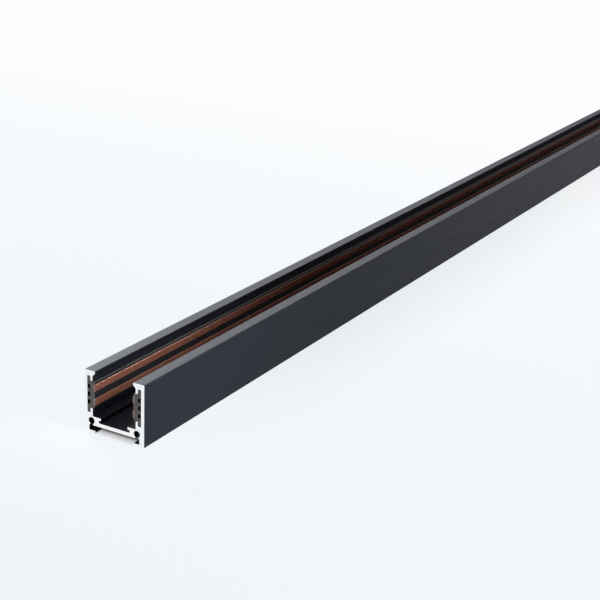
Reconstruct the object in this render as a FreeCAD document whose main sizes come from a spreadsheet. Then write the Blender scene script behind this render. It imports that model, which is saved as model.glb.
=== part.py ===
import FreeCAD, Part
import os
import re
import Sketcher

# Power track rail: a length of four-conductor lighting track, lying with its open side up.
# Millimetres. X is across the rail, Y along it, Z up from the feet. The origin is at the middle of the
# underside, and both ends are bare sawn ends.

# Driving sizes: name, value, meaning
SIZES = [
    ("rail_length", 1000.0, "sawn length of the rail"),
    ("rail_width", 36.0, "over the two side walls"),
    ("rail_height", 33.0, "from the feet to the flange tops"),
    ("side_wall", 1.9, "wall behind an insulator"),
    ("pocket_gap", 1.85, "clear width between a side wall and its lips"),
    ("lip_thickness", 1.3, "lips that hold an insulator"),
    ("lip_length", 2.45, "how far each lip covers the pocket"),
    ("flange_depth", 2.85, "flange above the pocket"),
    ("flange_overhang", 1.55, "flange edge past the lips"),
    ("flange_edge", 1.2, "thickness of the flange at its edge"),
    ("foot_wall", 2.85, "side wall beside the clip groove"),
    ("foot_reach", 6.5, "foot lip, from the outer face"),
    ("foot_thickness", 1.2, "foot lip"),
    ("clip_groove", 2.9, "height of the groove above a foot lip"),
    ("web_thickness", 1.9, "web between the walls"),
    ("recess_depth", 2.8, "web top to shelf top"),
    ("shelf_depth", 3.6, "shelf side past the lips"),
    ("nose_overhang", 1.25, "shelf nose past the shelf side"),
    ("nose_thickness", 1.4, "shelf nose"),
    ("pocket_rise", 1.9, "shelf top to pocket floor"),
    ("port_inset", 1.45, "clip groove's wall to screw port centre"),
    ("port_rise", 2.3, "web underside to screw port centre"),
    ("port_diameter", 3.7, "screw port for a self-tapping end screw"),
    ("port_mouth", 1.85, "slot from the clip groove into the port"),
    ("outer_round", 0.6, "top outer corners"),
    ("edge_round", 0.3, "free edges"),
    ("root_round", 0.25, "inner corners"),
    ("fit_clearance", 0.1, "insulator to side wall and lips"),
    ("tongue_gap", 0.5, "free space past an insulator tongue, at each end of its pocket"),
    ("insulator_stand", 1.3, "insulator front past the lips"),
    ("insulator_round", 0.7, "long front edges of an insulator"),
    ("pit_height", 2.2, "open pits along an insulator's back"),
    ("pit_depth", 1.65, "open pits along an insulator's back"),
    ("pit_spacing", 4.1, "between pit centres"),
    ("bar_margin", 1.25, "plastic past a bar groove, at an insulator's edge"),
    ("bar_gap", 3.05, "plastic between an insulator's two bar grooves"),
    ("bar_thickness", 1.7, "conductor bar"),
    ("bar_dovetail", 0.3, "how far a bar's back stands past its face, on each edge"),
    ("bar_stand", 0.45, "bar face past the insulator front"),
    ("bar_clearance", 0.05, "bar to groove, on every side"),
    ("bar_round", 0.4, "long edges of a bar's face"),
]

# Distances in from the outer face of a side wall
LIP_BACK = "(side_wall + pocket_gap)"
LIP_FACE = "(side_wall + pocket_gap + lip_thickness)"
FLANGE_EDGE = f"({LIP_FACE} + flange_overhang)"
SHELF_SIDE = f"({LIP_FACE} + shelf_depth)"
NOSE_EDGE = f"({SHELF_SIDE} + nose_overhang)"

# Heights above the feet
WEB_UNDER = "(foot_thickness + clip_groove)"
WEB_TOP = f"({WEB_UNDER} + web_thickness)"
SHELF_TOP = f"({WEB_TOP} + recess_depth)"
NOSE_UNDER = f"({SHELF_TOP} - nose_thickness)"
POCKET_FLOOR = f"({SHELF_TOP} + pocket_rise)"
POCKET_TOP = "(rail_height - flange_depth)"
LOWER_LIP = f"({POCKET_FLOOR} + lip_length)"
UPPER_LIP = f"({POCKET_TOP} - lip_length)"
BEVEL_FOOT = "(rail_height - flange_edge - flange_overhang)"
PORT_CENTRE = f"({WEB_UNDER} + port_rise)"
POCKET_MIDDLE = f"(({POCKET_FLOOR} + {POCKET_TOP}) / 2)"

# The insulator's own section: depth from its back, height from its middle
TONGUE_DEPTH = "(pocket_gap - 2 * fit_clearance)"
INSULATOR_DEPTH = "(pocket_gap + lip_thickness + insulator_stand - fit_clearance)"
TONGUE_HALF = f"(({POCKET_TOP} - {POCKET_FLOOR}) / 2 - tongue_gap)"
INSULATOR_HALF = f"(({UPPER_LIP} - {LOWER_LIP}) / 2 - fit_clearance)"
INSULATOR_BACK = "(rail_width / 2 - side_wall - fit_clearance)"

# A bar and its groove: the bar fills what the insulator's plastic leaves, less its clearance
BAR_FACE = f"({INSULATOR_DEPTH} + bar_stand)"
BAR_BACK = f"({BAR_FACE} - bar_thickness)"
GROOVE_BACK = f"({BAR_BACK} - bar_clearance)"
GROOVE_HALF = f"(({INSULATOR_HALF} - bar_margin - bar_gap / 2) / 2)"
BAR_MIDDLE = f"(bar_gap / 2 + {GROOVE_HALF})"
BAR_HALF = f"({GROOVE_HALF} - bar_clearance)"
BAR_FACE_HALF = f"({BAR_HALF} - bar_dovetail)"
MOUTH_HALF = f"({BAR_FACE_HALF} + bar_dovetail * bar_stand / bar_thickness + bar_clearance)"

SAME_PLACE = 1e-4


def on_sheet(formula):
    """The formula with each size name pointing at its cell."""
    return re.sub(r"[a-z_]+", lambda name: "sizes." + name.group(), formula)


def from_outer(distance):
    """Across the rail, that far in from the outer face of the right wall."""
    return f"(rail_width / 2 - {distance})"


def make_sheet(doc):
    sheet = doc.addObject("Spreadsheet::Sheet", "sizes")
    for row, (name, value, meaning) in enumerate(SIZES, start=1):
        sheet.set(f"A{row}", name)
        sheet.set(f"B{row}", str(value))
        sheet.setAlias(f"B{row}", name)
        sheet.set(f"C{row}", meaning)
    doc.recompute()


def measure(body, formula):
    return float(body.evalExpression(on_sheet(formula)))


def origin_plane(body, role):
    for feature in body.Origin.OriginFeatures:
        if feature.Role == role:
            return feature
    raise ValueError(f"no origin plane {role}")


def section_sketch(body, name):
    sketch = body.newObject("Sketcher::SketchObject", name)
    sketch.AttachmentSupport = (origin_plane(body, "XZ_Plane"), "")
    sketch.MapMode = "FlatFace"
    return sketch


def place_point(sketch, geometry, position, across, up):
    """Ties a line's start, position 1, or a circle's centre, position 3, to the sheet.

    A sketch's own axes are -1, across, which starts at the origin, and -2, up.
    """
    for kind, axis, formula in (("DistanceX", -2, across), ("DistanceY", -1, up)):
        if formula == "0":
            sketch.addConstraint(Sketcher.Constraint("PointOnObject", geometry, position, axis))
            continue
        value = measure(sketch, formula)
        index = sketch.addConstraint(Sketcher.Constraint(kind, -1, 1, geometry, position, value))
        sketch.setExpression(f"Constraints[{index}]", on_sheet(formula))


def outline(body, name, corners):
    """A closed sketch of straight lines through the corners, each an across and an up formula."""
    sketch = section_sketch(body, name)
    points = [FreeCAD.Vector(measure(sketch, x), measure(sketch, z), 0) for x, z in corners]
    following = points[1:] + points[:1]
    for start, end in zip(points, following):
        sketch.addGeometry(Part.LineSegment(start, end))
    for line in range(len(corners)):
        next_line = (line + 1) % len(corners)
        sketch.addConstraint(Sketcher.Constraint("Coincident", line, 2, next_line, 1))
    for line, (across, up) in enumerate(corners):
        place_point(sketch, line, 1, across, up)
    return sketch


def circle(body, name, across, up, diameter):
    sketch = section_sketch(body, name)
    centre = FreeCAD.Vector(measure(sketch, across), measure(sketch, up), 0)
    radius = measure(sketch, diameter) / 2
    ring = sketch.addGeometry(Part.Circle(centre, FreeCAD.Vector(0, 0, 1), radius))
    place_point(sketch, ring, 3, across, up)
    index = sketch.addConstraint(Sketcher.Constraint("Diameter", ring, 2 * radius))
    sketch.setExpression(f"Constraints[{index}]", on_sheet(diameter))
    return sketch


def run_length(body, sketch, kind, name):
    """A pad or pocket of the sketch over the whole length, equally to both ends."""
    feature = body.newObject(kind, name)
    feature.Profile = sketch
    feature.Midplane = True
    feature.setExpression("Length", on_sheet("rail_length"))
    body.Document.recompute()
    return feature


def pad(body, sketch, name):
    return run_length(body, sketch, "PartDesign::Pad", name)


def pocket(body, sketch, name):
    before = body.Shape.Volume
    feature = run_length(body, sketch, "PartDesign::Pocket", name)
    if body.Shape.Volume >= before:
        raise RuntimeError(f"{name} cuts nothing")
    return feature


def mirror(body, originals, role, name):
    feature = body.newObject("PartDesign::Mirrored", name)
    feature.Originals = originals
    feature.MirrorPlane = (origin_plane(body, role), [""])
    body.Tip = feature
    body.Document.recompute()


def long_edges(body, corners):
    """Names of the edges that run along the rail through the corners or their mirror images."""
    places = [(measure(body, x), measure(body, z)) for x, z in corners]
    names = []
    for number, edge in enumerate(body.Tip.Shape.Edges, start=1):
        ends = [vertex.Point for vertex in edge.Vertexes]
        if len(ends) != 2 or abs(ends[0].y - ends[1].y) < SAME_PLACE:
            continue
        for x, z in places:
            across = min(abs(ends[0].x - x), abs(ends[0].x + x))
            up = min(abs(ends[0].z - z), abs(ends[0].z + z))
            if across < SAME_PLACE and up < SAME_PLACE:
                names.append(f"Edge{number}")
                break
    if len(names) != 2 * len(corners):
        raise RuntimeError(f"{body.Label}: {len(names)} edges found for {len(corners)} corners")
    return names


def fillet(body, name, corners, radius):
    base = body.Tip
    names = long_edges(body, corners)
    feature = body.newObject("PartDesign::Fillet", name)
    feature.Base = (base, names)
    feature.setExpression("Radius", on_sheet(radius))
    body.Document.recompute()


def make_rail(doc):
    """The aluminium extrusion: half its section, run along the rail and mirrored."""
    body = doc.addObject("PartDesign::Body", "rail_profile")
    foot_face = from_outer("foot_wall")
    foot_edge = from_outer("foot_reach")
    outer_face = from_outer("0")
    flange_edge = from_outer(FLANGE_EDGE)
    flange_under = "(rail_height - flange_edge)"
    lip_face = from_outer(LIP_FACE)
    lip_back = from_outer(LIP_BACK)
    pocket_wall = from_outer("side_wall")
    nose_edge = from_outer(NOSE_EDGE)
    shelf_side = from_outer(SHELF_SIDE)

    half = outline(body, "half_section", [
        ("0", WEB_UNDER),
        (foot_face, WEB_UNDER),
        (foot_face, "foot_thickness"),
        (foot_edge, "foot_thickness"),
        (foot_edge, "0"),
        (outer_face, "0"),
        (outer_face, "rail_height"),
        (flange_edge, "rail_height"),
        (flange_edge, flange_under),
        (lip_face, BEVEL_FOOT),
        (lip_face, UPPER_LIP),
        (lip_back, UPPER_LIP),
        (lip_back, POCKET_TOP),
        (pocket_wall, POCKET_TOP),
        (pocket_wall, POCKET_FLOOR),
        (lip_back, POCKET_FLOOR),
        (lip_back, LOWER_LIP),
        (lip_face, LOWER_LIP),
        (lip_face, SHELF_TOP),
        (nose_edge, SHELF_TOP),
        (nose_edge, NOSE_UNDER),
        (shelf_side, NOSE_UNDER),
        (shelf_side, WEB_TOP),
        ("0", WEB_TOP),
    ])
    half_rail = pad(body, half, "half_rail")
    port_middle = from_outer("(foot_wall + port_inset)")
    port_ring = circle(body, "port_ring", port_middle, PORT_CENTRE, "port_diameter")
    port = pocket(body, port_ring, "screw_port")
    mouth_outline = outline(body, "mouth_outline", [
        (f"({port_middle} - port_mouth / 2)", WEB_UNDER),
        (f"({port_middle} + port_mouth / 2)", WEB_UNDER),
        (f"({port_middle} + port_mouth / 2)", PORT_CENTRE),
        (f"({port_middle} - port_mouth / 2)", PORT_CENTRE),
    ])
    mouth = pocket(body, mouth_outline, "port_mouth")
    mirror(body, [half_rail, port, mouth], "YZ_Plane", "both_halves")

    fillet(body, "outer_rounds", [(outer_face, "rail_height")], "outer_round")
    fillet(body, "edge_rounds", [
        (outer_face, "0"),
        (foot_edge, "0"),
        (foot_edge, "foot_thickness"),
        (flange_edge, "rail_height"),
        (flange_edge, flange_under),
        (lip_face, UPPER_LIP),
        (lip_back, UPPER_LIP),
        (lip_face, LOWER_LIP),
        (lip_back, LOWER_LIP),
        (nose_edge, SHELF_TOP),
        (nose_edge, NOSE_UNDER),
    ], "edge_round")
    fillet(body, "root_rounds", [
        (foot_face, "foot_thickness"),
        (foot_face, WEB_UNDER),
        (lip_back, POCKET_TOP),
        (pocket_wall, POCKET_TOP),
        (lip_back, POCKET_FLOOR),
        (pocket_wall, POCKET_FLOOR),
        (lip_face, SHELF_TOP),
        (shelf_side, NOSE_UNDER),
        (shelf_side, WEB_TOP),
    ], "root_round")
    return body


def seat(body, side, height):
    """Stands a strip or bar in its wall pocket, its depth running into the channel."""
    turn = 180 if side == "right" else 0
    sign = "" if side == "right" else "-"
    body.Placement.Rotation = FreeCAD.Rotation(FreeCAD.Vector(0, 0, 1), turn)
    body.setExpression("Placement.Base.x", on_sheet(f"{sign}{INSULATOR_BACK}"))
    body.setExpression("Placement.Base.z", on_sheet(height))


def make_insulator(doc, side):
    """A plastic strip: a tongue behind the lips, a body between them, bar grooves and back pits."""
    body = doc.addObject("PartDesign::Body", f"insulator_{side}")
    half = outline(body, f"{side}_half_strip", [
        ("0", "0"),
        (INSULATOR_DEPTH, "0"),
        (INSULATOR_DEPTH, INSULATOR_HALF),
        (TONGUE_DEPTH, INSULATOR_HALF),
        (TONGUE_DEPTH, TONGUE_HALF),
        ("0", TONGUE_HALF),
    ])
    half_strip = pad(body, half, f"{side}_upper_half")
    groove_outline = outline(body, f"{side}_groove_outline", [
        (GROOVE_BACK, f"({BAR_MIDDLE} - {GROOVE_HALF})"),
        (INSULATOR_DEPTH, f"({BAR_MIDDLE} - {MOUTH_HALF})"),
        (INSULATOR_DEPTH, f"({BAR_MIDDLE} + {MOUTH_HALF})"),
        (GROOVE_BACK, f"({BAR_MIDDLE} + {GROOVE_HALF})"),
    ])
    groove = pocket(body, groove_outline, f"{side}_bar_groove")
    pit_outline = outline(body, f"{side}_pit_outline", [
        ("0", "(pit_spacing - pit_height / 2)"),
        ("pit_depth", "(pit_spacing - pit_height / 2)"),
        ("pit_depth", "(pit_spacing + pit_height / 2)"),
        ("0", "(pit_spacing + pit_height / 2)"),
    ])
    pit = pocket(body, pit_outline, f"{side}_outer_pit")
    centre_outline = outline(body, f"{side}_centre_pit_outline", [
        ("0", "0"),
        ("pit_depth", "0"),
        ("pit_depth", "(pit_height / 2)"),
        ("0", "(pit_height / 2)"),
    ])
    centre_pit = pocket(body, centre_outline, f"{side}_centre_pit")
    mirror(body, [half_strip, groove, pit, centre_pit], "XY_Plane", f"{side}_both_halves")
    fillet(body, f"{side}_tongue_rounds", [
        ("0", TONGUE_HALF),
        (TONGUE_DEPTH, TONGUE_HALF),
    ], "root_round")
    fillet(body, f"{side}_front_rounds", [(INSULATOR_DEPTH, INSULATOR_HALF)], "insulator_round")
    seat(body, side, POCKET_MIDDLE)
    return body


def make_conductor(doc, side, level):
    """A copper bar with a dovetailed back, held in its groove and standing a little proud of it."""
    name = f"conductor_{side}_{level}"
    body = doc.addObject("PartDesign::Body", name)
    half = outline(body, f"{name}_half_bar", [
        (BAR_BACK, "0"),
        (BAR_FACE, "0"),
        (BAR_FACE, BAR_FACE_HALF),
        (BAR_BACK, BAR_HALF),
    ])
    half_bar = pad(body, half, f"{name}_upper_half")
    mirror(body, [half_bar], "XY_Plane", f"{name}_both_halves")
    fillet(body, f"{name}_face_rounds", [(BAR_FACE, BAR_FACE_HALF)], "bar_round")
    sign = "+" if level == "upper" else "-"
    seat(body, side, f"({POCKET_MIDDLE} {sign} {BAR_MIDDLE})")
    return body


def check_document(doc, bodies):
    for item in doc.Objects:
        if "Invalid" in item.State or "Error" in item.State:
            raise RuntimeError(f"{item.Name} failed: {item.State}")
    for body in bodies:
        if body.Shape.isNull() or not body.Shape.isValid():
            raise RuntimeError(f"{body.Label} has no valid shape")
        if len(body.Shape.Solids) != 1:
            raise RuntimeError(f"{body.Label} is not one solid")


def main():
    doc = FreeCAD.newDocument("power_track_rail")
    make_sheet(doc)
    bodies = [make_rail(doc)]
    for side in ("left", "right"):
        bodies.append(make_insulator(doc, side))
        for level in ("upper", "lower"):
            bodies.append(make_conductor(doc, side, level))
    doc.recompute()
    check_document(doc, bodies)
    os.makedirs("parts", exist_ok=True)
    for body in bodies:
        body.Shape.exportStep(f"parts/{body.Label}.step")


main()
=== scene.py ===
import math

import bmesh
import bpy
from bpy.props import FloatProperty, FloatVectorProperty, PointerProperty
from mathutils import Matrix, Vector


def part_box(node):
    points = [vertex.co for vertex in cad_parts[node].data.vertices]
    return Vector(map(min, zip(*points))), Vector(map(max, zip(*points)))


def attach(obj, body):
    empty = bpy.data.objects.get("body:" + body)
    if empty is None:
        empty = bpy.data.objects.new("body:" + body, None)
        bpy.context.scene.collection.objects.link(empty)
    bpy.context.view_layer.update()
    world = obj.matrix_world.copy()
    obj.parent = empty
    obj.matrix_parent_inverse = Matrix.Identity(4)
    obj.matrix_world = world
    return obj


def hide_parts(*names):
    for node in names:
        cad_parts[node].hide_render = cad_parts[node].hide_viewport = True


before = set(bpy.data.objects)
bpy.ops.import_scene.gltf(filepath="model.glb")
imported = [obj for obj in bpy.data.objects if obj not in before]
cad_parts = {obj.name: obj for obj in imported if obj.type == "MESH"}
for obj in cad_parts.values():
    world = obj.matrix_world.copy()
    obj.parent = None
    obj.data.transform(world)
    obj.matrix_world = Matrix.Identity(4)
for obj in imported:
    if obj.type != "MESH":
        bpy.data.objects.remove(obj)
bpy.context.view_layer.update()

bl_info = {
    "name": "Power track rail",
    "version": (1, 0, 0),
    "blender": (4, 5, 0),
    "location": "View3D > Sidebar > Track rail",
    "description": "Dresses a length of four-conductor lighting track and lights it for a studio view",
    "category": "Object",
}

BODY = "root"
SIDES = ("left", "right")
LEVELS = ("upper", "lower")

# The rail lies along Y about the origin, and the camera looks at the end where Y is lowest
RAIL_LOW, RAIL_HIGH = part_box("rail_profile")
NEAR_END = Vector((0.0, RAIL_LOW.y, RAIL_LOW.z))
MID_HEIGHT = (RAIL_LOW.z + RAIL_HIGH.z) / 2

SAME_POINT = 1e-6
SHARP_ANGLE = math.radians(30)


# Settings that a user would change

class RailSettings(bpy.types.PropertyGroup):
    """Sizes and colours of the extruded rail"""
    deburr: FloatProperty(
        name="Deburr", description="Small chamfer left where the sawn edges were cleaned",
        default=0.00012, min=0.0, unit="LENGTH",
    )
    finish: FloatVectorProperty(
        name="Finish", description="Colour of the satin black finish",
        default=(0.0070, 0.0080, 0.0125), min=0.0, max=1.0, subtype="COLOR",
    )
    bare_metal: FloatVectorProperty(
        name="Bare metal", description="Colour of the sawn aluminium",
        default=(0.99, 0.99, 0.99), min=0.0, max=1.0, subtype="COLOR",
    )
    saw_pitch: FloatProperty(
        name="Saw pitch", description="Distance between the saw's tooth marks, on every sawn end",
        default=0.0007, min=0.0001, unit="LENGTH",
    )


class InsulatorSettings(bpy.types.PropertyGroup):
    """Sizes and colours of the two plastic strips"""
    deburr: FloatProperty(
        name="Deburr", description="Small chamfer at the sawn ends of the strips",
        default=0.00012, min=0.0, unit="LENGTH",
    )
    plastic: FloatVectorProperty(
        name="Plastic", description="Colour of the extruded plastic",
        default=(0.011, 0.012, 0.0135), min=0.0, max=1.0, subtype="COLOR",
    )
    sawn_plastic: FloatVectorProperty(
        name="Sawn plastic", description="Colour of the dull sawn ends",
        default=(0.060, 0.064, 0.066), min=0.0, max=1.0, subtype="COLOR",
    )


class ConductorSettings(bpy.types.PropertyGroup):
    """Sizes and colours of the four copper bars"""
    deburr: FloatProperty(
        name="Deburr", description="Small chamfer at the sawn ends of the bars",
        default=0.0001, min=0.0, unit="LENGTH",
    )
    copper: FloatVectorProperty(
        name="Copper", description="Colour of the drawn copper",
        default=(0.66, 0.243, 0.218), min=0.0, max=1.0, subtype="COLOR",
    )
    tarnish: FloatVectorProperty(
        name="Tarnish", description="Colour of the dulled patches",
        default=(0.42, 0.210, 0.100), min=0.0, max=1.0, subtype="COLOR",
    )
    # Painted shade: a dark, dull colour on the bars' rounded edges that dims the highlight lines the lamps
    # put there
    edge_shade: FloatVectorProperty(
        name="Oxide", description="Colour of the rounded edges, which no contact wipes",
        default=(0.15, 0.085, 0.065), min=0.0, max=1.0, subtype="COLOR",
    )
    sawn_copper: FloatVectorProperty(
        name="Sawn copper", description="Colour of the bare sawn ends",
        default=(0.20, 0.15, 0.14), min=0.0, max=1.0, subtype="COLOR",
    )


class StageSettings(bpy.types.PropertyGroup):
    """The floor's colours, the camera and the even light"""
    floor_near: FloatVectorProperty(
        name="Floor near", description="Floor colour in front of the rail",
        default=(0.863, 0.913, 0.955), min=0.0, max=1.0, subtype="COLOR",
    )
    floor_far: FloatVectorProperty(
        name="Floor far", description="Floor colour behind the rail",
        default=(0.99, 0.99, 0.995), min=0.0, max=1.0, subtype="COLOR",
    )
    camera_place: FloatVectorProperty(
        name="Camera", description="Where the camera stands",
        default=(0.35606, RAIL_LOW.y - 0.46637, 0.28592), subtype="TRANSLATION", unit="LENGTH",
    )
    camera_target: FloatVectorProperty(
        name="Target", description="The point that the camera looks at",
        default=(-0.0038, RAIL_LOW.y + 0.1890, MID_HEIGHT), subtype="TRANSLATION", unit="LENGTH",
    )
    camera_roll: FloatProperty(
        name="Roll", description="Turn of the camera about its view, anticlockwise",
        default=0.0470, subtype="ANGLE",
    )
    focal_length: FloatProperty(
        name="Focal length", description="Lens in millimetres on a sensor 36 mm wide",
        default=78.91, min=10.0, unit="CAMERA",
    )
    surround: FloatProperty(
        name="Surround", description="Strength of the even light from all round",
        default=0.08, min=0.0,
    )


# Small helpers for objects and node trees

WHITE = (1.0, 1.0, 1.0)
NOISE_DETAIL = 3.0
NOISE_LOW, NOISE_HIGH = 0.3, 0.7
RELIEF_DEPTH = 0.00002


def new_object(name, data):
    """An object in the scene that holds the given mesh, curve, light or camera."""
    made = bpy.data.objects.new(name, data)
    bpy.context.scene.collection.objects.link(made)
    return made


def add(tree, kind, sockets=None, **settings):
    """A node with its settings, and with its inputs linked or set."""
    node = tree.nodes.new(kind)
    for name, value in settings.items():
        setattr(node, name, value)
    for key, value in (sockets or {}).items():
        if isinstance(value, bpy.types.NodeSocket):
            tree.links.new(value, node.inputs[key])
        else:
            node.inputs[key].default_value = value
    return node


def calculate(tree, operation, first, second=0.0):
    """The result of one Math node. An operation on a single number leaves out the second."""
    return add(tree, "ShaderNodeMath", {0: first, 1: second}, operation=operation).outputs[0]


def ramp(tree, value, start, end, low=0.0, high=1.0):
    """Low before start, high past end, and an even slope from one to the other."""
    sockets = {"Value": value, "From Min": start, "From Max": end, "To Min": low, "To Max": high}
    return add(tree, "ShaderNodeMapRange", sockets).outputs["Result"]


def blend_colours(tree, factor, first, second):
    """The first colour at 0, the second at 1. Each is an output of the tree or three numbers."""
    sockets = {"Factor": factor}
    for name, colour in (("A", first), ("B", second)):
        sockets[name] = colour if isinstance(colour, bpy.types.NodeSocket) else (*colour, 1.0)
    mixed = add(tree, "ShaderNodeMix", sockets, data_type="RGBA")
    return next(socket for socket in mixed.outputs if socket.type == "RGBA")


def mix_shaders(tree, factor, first, second):
    """The first shader at 0, the second at 1."""
    return add(tree, "ShaderNodeMixShader", {0: factor, 1: first, 2: second}).outputs["Shader"]


def start_material(name):
    """An empty node material: its tree, and the object coordinates that its patterns read."""
    material = bpy.data.materials.new(name)
    material.use_nodes = True
    tree = material.node_tree
    tree.nodes.clear()
    place = add(tree, "ShaderNodeTexCoord").outputs["Object"]
    return material, tree, place


def finish_material(tree, sockets):
    """Ends a material in one shader with the given inputs."""
    surface = add(tree, "ShaderNodeBsdfPrincipled", sockets)
    add(tree, "ShaderNodeOutputMaterial", {"Surface": surface.outputs["BSDF"]})


def noise(tree, place, stretch, scale, detail=NOISE_DETAIL):
    """Noise in object space, drawn out where a part of stretch is small."""
    mapped = add(tree, "ShaderNodeMapping", {"Vector": place, "Scale": stretch})
    sockets = {"Vector": mapped.outputs["Vector"], "Scale": scale, "Detail": detail}
    return add(tree, "ShaderNodeTexNoise", sockets).outputs["Fac"]


def between(tree, pattern, limits):
    """A number that goes from one limit to the other over the range where most of a pattern lies."""
    return ramp(tree, pattern, NOISE_LOW, NOISE_HIGH, *limits)


def shades(tree, pattern, colour, shares):
    """A colour that a pattern takes from one share of its brightness to another."""
    first, second = (tuple(share * part for part in colour) for share in shares)
    return blend_colours(tree, pattern, first, second)


def bump(tree, height, strength):
    """The normal of a fine relief."""
    sockets = {"Height": height, "Strength": strength, "Distance": RELIEF_DEPTH}
    return add(tree, "ShaderNodeBump", sockets).outputs["Normal"]


# The rail's black finish. The scale of a noise is about the number of its spots on a metre

ALONG_RAIL = (1.0, 0.004, 1.0)
EVENLY = (1.0, 1.0, 1.0)

FINISH_LINES, FINISH_GRAIN, FINISH_PATCHES = 2600.0, 5200.0, 38.0
FINISH_SHARES = (0.9, 1.1)
FINISH_ROUGHNESS = (0.5, 0.6)
FINISH_GLOSS = 0.18
FINISH_GLOSS_TINT = (0.56, 0.72, 1.0, 1.0)
FINISH_RELIEF = 0.08


def satin_black(settings):
    """The extrusion's black finish: faint die lines along the rail and a fine grain."""
    material, tree, place = start_material("satin_black_finish")
    lines = noise(tree, place, ALONG_RAIL, FINISH_LINES)
    grain = noise(tree, place, EVENLY, FINISH_GRAIN)
    patches = noise(tree, place, EVENLY, FINISH_PATCHES)
    finish_material(tree, {
        "Base Color": shades(tree, patches, settings.finish, FINISH_SHARES),
        "Roughness": between(tree, lines, FINISH_ROUGHNESS),
        "Specular IOR Level": FINISH_GLOSS,
        "Specular Tint": FINISH_GLOSS_TINT,
        "Normal": bump(tree, calculate(tree, "ADD", lines, grain), FINISH_RELIEF),
    })
    return material


# Bare sawn ends. The saw blade's centre stood below the rail and to its left

SAW_CENTRE = Vector((-0.045, 0.0, -0.11))
SAW_PLANE = (1.0, 0.0, 1.0)
SAW_WANDER = {"Distortion": 1.2, "Detail": 2.0, "Detail Scale": 1.5}
RING_PITCH_AT_SCALE_1 = 2 * math.pi / 20

SAWN_SPECKS = 1800.0
SAWN_SHARES = (1.0, 0.72)
SAWN_RELIEF = 0.3
SAWN_ALUMINIUM = {"metallic": 1.0, "roughness": (0.38, 0.5)}
SAWN_PLASTIC = {"metallic": 0.0, "roughness": (0.6, 0.75)}
SAWN_COPPER = {"metallic": 1.0, "roughness": (0.4, 0.5)}


def saw_marks(tree, place, pitch):
    """Curved tooth marks, as rings about the saw blade's centre."""
    sockets = {"Vector": place, "Location": -SAW_CENTRE, "Scale": SAW_PLANE}
    centred = add(tree, "ShaderNodeMapping", sockets).outputs["Vector"]
    sockets = {"Vector": centred, "Scale": RING_PITCH_AT_SCALE_1 / pitch, **SAW_WANDER}
    wave = add(tree, "ShaderNodeTexWave", sockets, wave_type="RINGS", rings_direction="SPHERICAL")
    return wave.outputs["Fac"]


def sawn_face(name, colour, pitch, metallic, roughness):
    """A bare sawn face, darker in specks where the tooth marks run."""
    material, tree, place = start_material(name)
    marks = saw_marks(tree, place, pitch)
    specks = noise(tree, place, EVENLY, SAWN_SPECKS)
    worn = calculate(tree, "MULTIPLY", marks, specks)
    finish_material(tree, {
        "Base Color": shades(tree, worn, colour, SAWN_SHARES),
        "Metallic": metallic,
        "Roughness": between(tree, marks, roughness),
        "Normal": bump(tree, marks, SAWN_RELIEF),
    })
    return material


# The insulators' plastic

PLASTIC_LINES, PLASTIC_CLOUD = 3000.0, 90.0
PLASTIC_SHARES = (0.85, 1.15)
PLASTIC_ROUGHNESS = (0.42, 0.52)
PLASTIC_GLOSS = 0.35
PLASTIC_RELIEF = 0.1


def extruded_plastic(settings):
    """Dark plastic, a little cloudy, with fine lines from the die."""
    material, tree, place = start_material("extruded_plastic")
    lines = noise(tree, place, ALONG_RAIL, PLASTIC_LINES)
    cloud = noise(tree, place, EVENLY, PLASTIC_CLOUD)
    finish_material(tree, {
        "Base Color": shades(tree, cloud, settings.plastic, PLASTIC_SHARES),
        "Roughness": between(tree, lines, PLASTIC_ROUGHNESS),
        "Specular IOR Level": PLASTIC_GLOSS,
        "Normal": bump(tree, lines, PLASTIC_RELIEF),
    })
    return material


# The bars' copper

COPPER_LINES, COPPER_PATCHES = 4200.0, 110.0
PATCH_STRETCH = (1.0, 0.25, 1.0)
PATCH_DETAIL = 5.0
COPPER_ROUGHNESS = (0.2, 0.3)
COPPER_GLOSS = 0.1
COPPER_RELIEF = 0.08
FACE_METALLIC, EDGE_METALLIC = 0.7, 0.25
EDGE_STARTS, EDGE_FULL = 0.1, 0.6


def rounded_edges(tree):
    """0 on a bar's upright face, 1 where the face rounds over towards its upper and lower edge."""
    normal = add(tree, "ShaderNodeNewGeometry").outputs["Normal"]
    up = add(tree, "ShaderNodeSeparateXYZ", {"Vector": normal}).outputs["Z"]
    return ramp(tree, calculate(tree, "ABSOLUTE", up), EDGE_STARTS, EDGE_FULL)


def drawn_copper(settings):
    """Copper strip with fine lines from the drawing die, dulled patches, and rounded edges painted darker
    and duller: painted shade that dims their highlight lines.
    """
    material, tree, place = start_material("drawn_copper")
    lines = noise(tree, place, ALONG_RAIL, COPPER_LINES)
    dulled = noise(tree, place, PATCH_STRETCH, COPPER_PATCHES, PATCH_DETAIL)
    face = blend_colours(tree, dulled, settings.copper, settings.tarnish)
    edge = rounded_edges(tree)
    finish_material(tree, {
        # The rounded edges take a darker colour and less metal: painted shade that dims their highlight
        # lines
        "Base Color": blend_colours(tree, edge, face, settings.edge_shade),
        "Metallic": ramp(tree, edge, 0.0, 1.0, FACE_METALLIC, EDGE_METALLIC),
        "Roughness": between(tree, dulled, COPPER_ROUGHNESS),
        "Specular IOR Level": COPPER_GLOSS,
        "Normal": bump(tree, lines, COPPER_RELIEF),
    })
    return material


# A long strip of one section, with sawn and deburred ends

STRIP_TREE = "sawn_strip"
LAID_ALONG_Y = (math.pi / 2, 0.0, 0.0)


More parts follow.
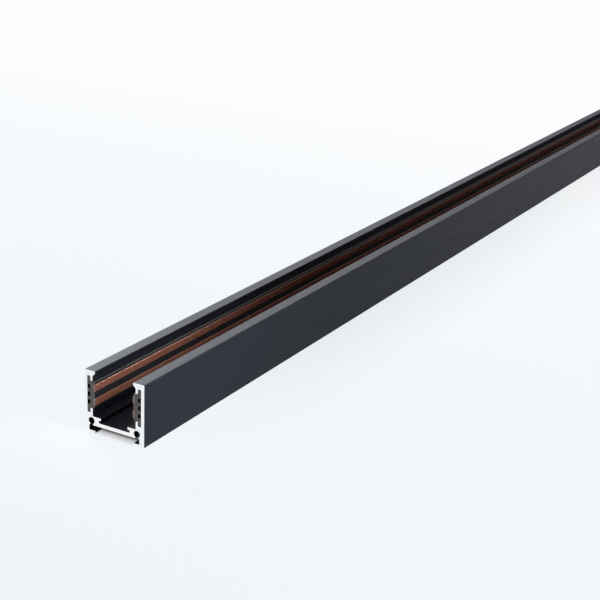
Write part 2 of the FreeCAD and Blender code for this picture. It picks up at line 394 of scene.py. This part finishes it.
def edge_profile(tree, half, straight, deburr):
    """The lengthwise line that is swept round a section: along the strip, with a chamfer at each end."""
    corners = []
    for inward, along, sign in (
        (deburr, half, 1.0), (0.0, straight, 1.0), (0.0, straight, -1.0), (deburr, half, -1.0),
    ):
        sockets = {"X": inward, "Y": calculate(tree, "MULTIPLY", along, sign)}
        corners.append(add(tree, "ShaderNodeCombineXYZ", sockets).outputs["Vector"])
    line = add(tree, "GeometryNodeCurvePrimitiveLine").outputs["Curve"]
    points = add(tree, "GeometryNodeResampleCurve", {"Curve": line, "Count": len(corners)})
    number = add(tree, "GeometryNodeInputIndex").outputs["Index"]
    choice = add(tree, "GeometryNodeIndexSwitch", {"Index": number}, data_type="VECTOR")
    while len(choice.index_switch_items) < len(corners):
        choice.index_switch_items.new()
    for place, corner in enumerate(corners, start=1):
        tree.links.new(corner, choice.inputs[place])
    sockets = {"Geometry": points.outputs["Curve"], "Position": choice.outputs["Output"]}
    return add(tree, "GeometryNodeSetPosition", sockets).outputs["Geometry"]


def end_faces(tree, section, half, deburr):
    """The two sawn faces, drawn in by the chamfer, both facing out."""
    normal = add(tree, "GeometryNodeInputNormal").outputs["Normal"]
    inward = add(tree, "ShaderNodeVectorMath", {0: normal, "Scale": deburr}, operation="SCALE")
    sockets = {"Geometry": section, "Offset": inward.outputs["Vector"]}
    inset = add(tree, "GeometryNodeSetPosition", sockets).outputs["Geometry"]
    face = add(tree, "GeometryNodeFillCurve", {"Curve": inset}, mode="NGONS").outputs["Mesh"]
    ends = []
    for sign in (-1.0, 1.0):
        lift = add(tree, "ShaderNodeCombineXYZ", {"Z": calculate(tree, "MULTIPLY", half, sign)})
        sockets = {"Geometry": face, "Translation": lift.outputs["Vector"]}
        ends.append(add(tree, "GeometryNodeTransform", sockets).outputs["Geometry"])
    lower, upper = ends
    return add(tree, "GeometryNodeFlipFaces", {"Mesh": lower}).outputs["Mesh"], upper


def bare_faces(tree, straight):
    """True for the faces that the saw and the deburring left bare at both ends."""
    place = add(tree, "GeometryNodeInputPosition").outputs["Position"]
    along = add(tree, "ShaderNodeSeparateXYZ", {"Vector": place}).outputs["Y"]
    sockets = {"A": calculate(tree, "ABSOLUTE", along), "B": straight}
    return add(tree, "FunctionNodeCompare", sockets, operation="GREATER_THAN").outputs["Result"]


def sawn_strip_tree():
    """Sweeps a closed section along its length and closes the sawn ends."""
    tree = bpy.data.node_groups.get(STRIP_TREE)
    if tree:
        return tree
    tree = bpy.data.node_groups.new(STRIP_TREE, "GeometryNodeTree")
    for name, kind in (
        ("Section", "NodeSocketGeometry"), ("Length", "NodeSocketFloat"), ("Deburr", "NodeSocketFloat"),
        ("Long finish", "NodeSocketMaterial"), ("Sawn finish", "NodeSocketMaterial"),
    ):
        tree.interface.new_socket(name, in_out="INPUT", socket_type=kind)
    tree.interface.new_socket("Strip", in_out="OUTPUT", socket_type="NodeSocketGeometry")
    given = add(tree, "NodeGroupInput").outputs
    half = calculate(tree, "MULTIPLY", given["Length"], 0.5)
    straight = calculate(tree, "SUBTRACT", half, given["Deburr"])

    profile = edge_profile(tree, half, straight, given["Deburr"])
    sockets = {"Curve": given["Section"], "Profile Curve": profile}
    swept = add(tree, "GeometryNodeCurveToMesh", sockets).outputs["Mesh"]
    joined = add(tree, "GeometryNodeJoinGeometry")
    for part in (swept, *end_faces(tree, given["Section"], half, given["Deburr"])):
        tree.links.new(part, joined.inputs["Geometry"])

    strip = joined.outputs["Geometry"]
    for kind, sockets in (
        ("GeometryNodeMergeByDistance", {"Distance": SAME_POINT}),
        ("GeometryNodeTransform", {"Rotation": LAID_ALONG_Y}),
        ("GeometryNodeRealizeInstances", {}),
        ("GeometryNodeSetMaterial", {"Material": given["Long finish"]}),
        ("GeometryNodeSetMaterial", {
            "Material": given["Sawn finish"], "Selection": bare_faces(tree, straight),
        }),
    ):
        strip = add(tree, kind, {"Geometry": strip, **sockets}).outputs["Geometry"]
    add(tree, "NodeGroupOutput", {"Strip": strip})
    return tree


def section_of(node):
    """The outline of a node's near end, clockwise as seen from there, as across and up pairs."""
    shape = bmesh.new()
    shape.from_mesh(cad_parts[node].data)
    bmesh.ops.remove_doubles(shape, verts=shape.verts, dist=SAME_POINT)
    near = min(vert.co.y for vert in shape.verts)
    near_faces = {
        face for face in shape.faces
        if all(abs(vert.co.y - near) < SAME_POINT for vert in face.verts)
    }
    following = {}
    for face in near_faces:
        for loop in face.loops:
            if len(near_faces.intersection(loop.edge.link_faces)) == 1:
                following[loop.link_loop_next.vert] = loop.vert
    # The set has no fixed order, so the first point is chosen by its place
    first = min(following, key=lambda vert: (vert.co.z, vert.co.x))
    outline = [first]
    while following[outline[-1]] is not first:
        outline.append(following[outline[-1]])
    if len(outline) != len(following):
        raise RuntimeError(f"{node}: the end is not one closed outline")
    points = [(vert.co.x, vert.co.z) for vert in outline]
    shape.free()
    return points


def section_curve(name, points):
    """A closed curve through the points of a section, lying flat."""
    curve = bpy.data.curves.new(name, "CURVE")
    curve.dimensions = "3D"
    curve.twist_mode = "Z_UP"
    spline = curve.splines.new("POLY")
    spline.points.add(len(points) - 1)
    spline.use_cyclic_u = True
    for point, (across, up) in zip(spline.points, points):
        point.co = (across, up, 0.0, 1.0)
    return curve


def set_input(modifier, name, value):
    """Sets the named input of a modifier's tree by its identifier."""
    for item in modifier.node_group.interface.items_tree:
        if item.item_type == "SOCKET" and item.in_out == "INPUT" and item.name == name:
            modifier[item.identifier] = value
            return
    raise KeyError(name)


def evaluated_mesh(piece):
    """The plain mesh that a piece's modifiers make."""
    depsgraph = bpy.context.evaluated_depsgraph_get()
    mesh = bpy.data.meshes.new_from_object(piece.evaluated_get(depsgraph), depsgraph=depsgraph)
    mesh.name = piece.name
    return mesh


def drop_empty_slots(mesh):
    """Takes out the material slots that hold nothing."""
    for index in reversed(range(len(mesh.materials))):
        if mesh.materials[index] is None:
            mesh.materials.pop(index=index)


def smooth_rounds(strip):
    """Shades the rounds smooth, with the flats flat and the sawn edges sharp."""
    strip.data.shade_smooth()
    strip.data.set_sharp_from_angle(angle=SHARP_ANGLE)
    shading = strip.modifiers.new("Even shading", "WEIGHTED_NORMAL")
    shading.keep_sharp = True
    strip.data = evaluated_mesh(strip)
    strip.modifiers.clear()


def sawn_strip(name, node, deburr, long_finish, sawn_finish):
    """Builds one strip on its node's section and lets it stand for that node."""
    low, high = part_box(node)
    outline = new_object(name + "_outline", section_curve(name, section_of(node)))
    modifier = outline.modifiers.new("Sawn strip", "NODES")
    modifier.node_group = sawn_strip_tree()
    set_input(modifier, "Length", high.y - low.y)
    set_input(modifier, "Deburr", deburr)
    set_input(modifier, "Long finish", long_finish)
    set_input(modifier, "Sawn finish", sawn_finish)
    strip = new_object(name, evaluated_mesh(outline))
    bpy.data.objects.remove(outline)
    drop_empty_slots(strip.data)
    smooth_rounds(strip)
    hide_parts(node)
    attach(strip, BODY)


# The floor, which fades to its far colour along the rail and also all round, far from the rail

FLOOR_SIZE = 14.0
FLOOR_DROP = 0.0001
FADE_STARTS, FADE_ENDS = RAIL_LOW.y - 0.1, RAIL_HIGH.y
AROUND_STARTS, AROUND_ENDS = 0.8, 3.5

# How much of its brightness the floor gives by itself, from a little way under the rail's edge to
# well clear of it. The rest is lit, and takes the rail's shadow
UNDER_RAIL = 0.006
CLEAR_OF_RAIL = 0.06
GLOW_UNDER, GLOW_BESIDE, GLOW_CLEAR = 0.1, 0.88, 1.0


def background_rays(tree):
    """1 for what the camera, a reflection or a clear surface shows, 0 for light."""
    path = add(tree, "ShaderNodeLightPath").outputs
    seen = path["Is Camera Ray"]
    for name in ("Is Glossy Ray", "Is Transmission Ray"):
        seen = calculate(tree, "MAXIMUM", seen, path[name])
    return seen


def distance_from_rail(tree, across, along):
    """How far a point of the floor lies outside the rail's footprint, negative under the rail."""
    outside = []
    for place, reach in ((across, RAIL_HIGH.x), (along, RAIL_HIGH.y)):
        outside.append(calculate(tree, "SUBTRACT", calculate(tree, "ABSOLUTE", place), reach))
    return calculate(tree, "MAXIMUM", *outside)


def floor_glow(tree, distance):
    """The share of the floor's own brightness: little under the rail, all of it well clear of the rail."""
    under = ramp(tree, distance, -UNDER_RAIL, 0.0, GLOW_UNDER, GLOW_BESIDE)
    clear = ramp(tree, distance, 0.0, CLEAR_OF_RAIL, 0.0, GLOW_CLEAR - GLOW_BESIDE)
    return calculate(tree, "ADD", under, clear)


def pale_floor(settings):
    """A matte floor that shows the camera and reflections its own even colour."""
    material, tree, place = start_material("pale_floor")
    parts = add(tree, "ShaderNodeSeparateXYZ", {"Vector": place}).outputs
    distance = distance_from_rail(tree, parts["X"], parts["Y"])
    behind = ramp(tree, parts["Y"], FADE_STARTS, FADE_ENDS)
    around = ramp(tree, distance, AROUND_STARTS, AROUND_ENDS)
    far = calculate(tree, "MAXIMUM", behind, around)
    colour = blend_colours(tree, far, settings.floor_near, settings.floor_far)
    matte = add(tree, "ShaderNodeBsdfDiffuse", {"Color": colour}).outputs["BSDF"]
    bright = add(tree, "ShaderNodeEmission", {"Color": colour, "Strength": 1.0}).outputs["Emission"]
    glow = calculate(tree, "MULTIPLY", background_rays(tree), floor_glow(tree, distance))
    surface = mix_shaders(tree, glow, matte, bright)
    add(tree, "ShaderNodeOutputMaterial", {"Surface": surface})
    return material


def make_floor(settings):
    """A wide floor just under the rail."""
    bpy.ops.mesh.primitive_grid_add(size=FLOOR_SIZE, location=(0.0, 0.0, RAIL_LOW.z - FLOOR_DROP))
    floor = bpy.context.object
    floor.name = "studio_floor"
    floor.data.materials.append(pale_floor(settings))


# Light and camera

# Places and targets are measured from the middle of the rail's near end, on the floor
NARROW = math.radians(30)
LAMPS = {
    "left_softbox": {
        "place": (-1.899, 1.296, 0.976), "target": (0.0, 0.2, 0.0),
        "size": (0.9, 0.6), "power": 84.0,
    },
    "back_left_softbox": {
        "place": (-1.018, 1.963, 1.272), "target": (0.0, 0.2, 0.0),
        "size": (0.9, 0.9), "power": 11.0,
    },
    "end_lamp_right": {
        "place": (0.385, 0.01, 0.345), "target": (-0.012, 0.0, 0.02),
        "size": (0.12, 0.12), "power": 0.08, "spread": NARROW,
    },
    "end_lamp_front": {
        "place": (0.06, -0.48, 0.40), "target": (-0.01, 0.01, 0.02),
        "size": (0.12, 0.12), "power": 0.068, "spread": NARROW, "colour": (1.0, 0.80, 0.68),
    },
    "end_lamp_back": {
        "place": (0.30, 0.41, 0.17), "target": (-0.012, 0.0, 0.025),
        "size": (0.08, 0.08), "power": 0.028, "spread": NARROW,
    },
}
SENSOR_WIDTH = 36.0
CLIP_START = 0.01


def make_world(settings):
    """An even pale surround, which the camera and reflections see as bright as the far floor."""
    world = bpy.data.worlds.new("studio_surround")
    bpy.context.scene.world = world
    world.use_nodes = True
    tree = world.node_tree
    tree.nodes.clear()
    light = add(tree, "ShaderNodeBackground", {"Color": (*WHITE, 1.0), "Strength": settings.surround})
    shown = add(tree, "ShaderNodeBackground", {"Color": (*settings.floor_far, 1.0), "Strength": 1.0})
    surface = mix_shaders(
        tree, background_rays(tree), light.outputs["Background"], shown.outputs["Background"],
    )
    add(tree, "ShaderNodeOutputWorld", {"Surface": surface})


def facing(place, target):
    """The turn of a light or camera at a place that looks at a target."""
    return (target - place).to_track_quat("-Z", "Y")


def area_light(name, place, target, size, power, spread=math.pi, colour=WHITE):
    """A flat lamp that points at its target and doesn't show to the camera."""
    lamp = bpy.data.lights.new(name, "AREA")
    lamp.shape = "RECTANGLE"
    lamp.size, lamp.size_y = size
    lamp.energy = power
    lamp.color = colour
    lamp.spread = spread
    light = new_object(name, lamp)
    light.visible_camera = False
    light.location = NEAR_END + Vector(place)
    light.rotation_euler = facing(Vector(place), Vector(target)).to_euler()


def make_camera(settings):
    """The camera, turned about its own view by the roll."""
    lens = bpy.data.cameras.new("product_camera")
    lens.sensor_width = SENSOR_WIDTH
    lens.lens = settings.focal_length
    lens.clip_start = CLIP_START
    camera = new_object("product_camera", lens)
    place = Vector(settings.camera_place)
    view = facing(place, Vector(settings.camera_target)).to_matrix()
    roll = Matrix.Rotation(settings.camera_roll, 3, "Z")
    camera.matrix_world = Matrix.Translation(place) @ (view @ roll).to_4x4()
    bpy.context.scene.camera = camera


# Operators

class TRACKRAIL_OT_rail(bpy.types.Operator):
    """Build the extruded rail with its black finish and bare sawn ends"""
    bl_idname = "track_rail.rail"
    bl_label = "Extruded rail"

    def execute(self, context):
        settings = context.scene.track_rail
        black = satin_black(settings)
        sawn = sawn_face("sawn_aluminium", settings.bare_metal, settings.saw_pitch, **SAWN_ALUMINIUM)
        sawn_strip("rail_extrusion", "rail_profile", settings.deburr, black, sawn)
        return {"FINISHED"}


class TRACKRAIL_OT_insulators(bpy.types.Operator):
    """Build the two plastic strips in the wall pockets"""
    bl_idname = "track_rail.insulators"
    bl_label = "Insulator strips"

    def execute(self, context):
        settings = context.scene.track_insulators
        pitch = context.scene.track_rail.saw_pitch
        plastic = extruded_plastic(settings)
        sawn = sawn_face("sawn_plastic", settings.sawn_plastic, pitch, **SAWN_PLASTIC)
        for side in SIDES:
            sawn_strip(
                f"insulator_strip_{side}", f"insulator_{side}",
                settings.deburr, plastic, sawn,
            )
        return {"FINISHED"}


class TRACKRAIL_OT_conductors(bpy.types.Operator):
    """Build the four copper bars in the insulators' grooves"""
    bl_idname = "track_rail.conductors"
    bl_label = "Conductor bars"

    def execute(self, context):
        settings = context.scene.track_conductors
        pitch = context.scene.track_rail.saw_pitch
        copper = drawn_copper(settings)
        sawn = sawn_face("sawn_copper", settings.sawn_copper, pitch, **SAWN_COPPER)
        for side in SIDES:
            for level in LEVELS:
                sawn_strip(
                    f"conductor_bar_{side}_{level}", f"conductor_{side}_{level}",
                    settings.deburr, copper, sawn,
                )
        return {"FINISHED"}


class TRACKRAIL_OT_stage(bpy.types.Operator):
    """Set the floor, the lights and the camera"""
    bl_idname = "track_rail.stage"
    bl_label = "Studio stage"

    def execute(self, context):
        settings = context.scene.track_stage
        make_floor(settings)
        make_world(settings)
        for name, lamp in LAMPS.items():
            area_light(name, **lamp)
        make_camera(settings)
        context.scene.view_settings.view_transform = "Standard"
        return {"FINISHED"}


# Each group of settings, with the scene's name for it and the operator that uses it

GROUPS = (
    ("track_rail", RailSettings, TRACKRAIL_OT_rail),
    ("track_insulators", InsulatorSettings, TRACKRAIL_OT_insulators),
    ("track_conductors", ConductorSettings, TRACKRAIL_OT_conductors),
    ("track_stage", StageSettings, TRACKRAIL_OT_stage),
)


class TRACKRAIL_PT_panel(bpy.types.Panel):
    """Track rail pieces and their settings"""
    bl_idname = "TRACKRAIL_PT_panel"
    bl_label = "Power track rail"
    bl_space_type = "VIEW_3D"
    bl_region_type = "UI"
    bl_category = "Track rail"

    def draw(self, context):
        for name, kind, operator in GROUPS:
            box = self.layout.box()
            settings = getattr(context.scene, name)
            for setting in kind.__annotations__:
                box.prop(settings, setting)
            box.operator(operator.bl_idname)


def register():
    """Makes the settings, the operators and the panel known to Blender."""
    for name, settings, operator in GROUPS:
        bpy.utils.register_class(settings)
        bpy.utils.register_class(operator)
        setattr(bpy.types.Scene, name, PointerProperty(type=settings))
    bpy.utils.register_class(TRACKRAIL_PT_panel)


def unregister():
    """Takes them out again, the last one first."""
    bpy.utils.unregister_class(TRACKRAIL_PT_panel)
    for name, settings, operator in reversed(GROUPS):
        delattr(bpy.types.Scene, name)
        bpy.utils.unregister_class(operator)
        bpy.utils.unregister_class(settings)


def main():
    register()
    bpy.ops.track_rail.rail()
    bpy.ops.track_rail.insulators()
    bpy.ops.track_rail.conductors()
    bpy.ops.track_rail.stage()


if __name__ == "__main__":
    main()
